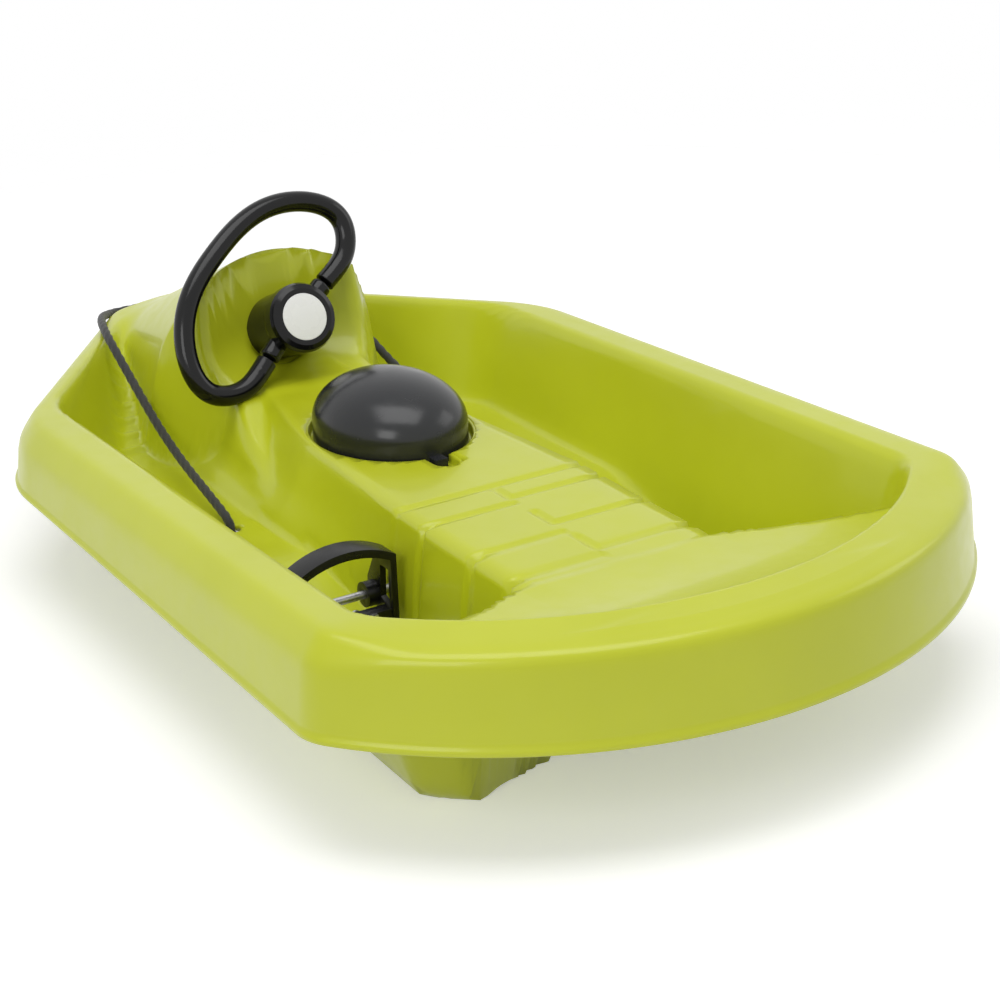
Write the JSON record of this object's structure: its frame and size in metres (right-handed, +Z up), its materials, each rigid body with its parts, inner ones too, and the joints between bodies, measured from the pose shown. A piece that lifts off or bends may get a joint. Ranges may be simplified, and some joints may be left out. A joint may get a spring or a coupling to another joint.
{
  "type": "steering sled",
  "caption": "Moulded one-seat snow sled with a D-shaped steering wheel that turns a front ski, a hand brake in the left footwell, a stowage cover and a tow rope.",
  "frame": {"origin": "on the ground below the middle of the hull", "axes": "+X to the bow, +Y to the rider's left, +Z up"},
  "size_m": [0.8799, 0.5108, 0.2472],
  "materials": {
    "hull": "glossy moulded lime green",
    "wheel": "glossy black",
    "badge": "plain white",
    "cover": "satin dark grey",
    "black": "satin black",
    "bush": "natural nylon",
    "steel": "zinc plated",
    "rope": "braided black cord"
  },
  "bodies": {
    "hull": {"hull_shell": "hull", "upper_bush": "bush", "lower_bush": "bush", "steering_bridge": "black", "bridge_screws": "steel", "kingpin": "steel", "kingpin_washers": "steel", "kingpin_nut": "steel", "brake_axle": "steel", "axle_caps": "black", "tow_rope": "rope", "rope_knot_left": "rope", "rope_knot_right": "rope"},
    "wheel": {"steering_wheel": "wheel", "hub_badge": "badge", "hub_screw": "steel", "steering_shaft": "steel", "shaft_clip": "steel", "crank_sleeve": "bush", "crank_clip": "steel"},
    "ski": {"steering_ski": "black"},
    "cover": {"stowage_cover": "cover"},
    "brake": {"brake_lever": "black", "brake_claw": "steel", "claw_rivets": "steel"}
  },
  "joints": [
    {"name": "steer", "type": "hinge", "parent": "hull", "child": "wheel", "pos_m": [0.175, 0, 0.1645], "axis": [-0.9157, 0, 0.4019], "range_deg": [-77, 1]},
    {"name": "ski_turn", "type": "hinge", "parent": "hull", "child": "ski", "pos_m": [0.372, 0, 0.03], "axis": [0, 0, 1], "range_deg": [-37.6, 0.7]},
    {"name": "cover_lift", "type": "slide", "parent": "hull", "child": "cover", "axis": [0, 0, 1], "range_m": [0, 0.1]},
    {"name": "brake_pull", "type": "hinge", "parent": "hull", "child": "brake", "pos_m": [-0.092, 0.1265, 0.056], "axis": [0, -1, 0], "range_deg": [0, 38]}
  ],
  "couplings": [
    {"joint": "ski_turn", "follows": "steer", "ratio": 0.486}
  ]
}
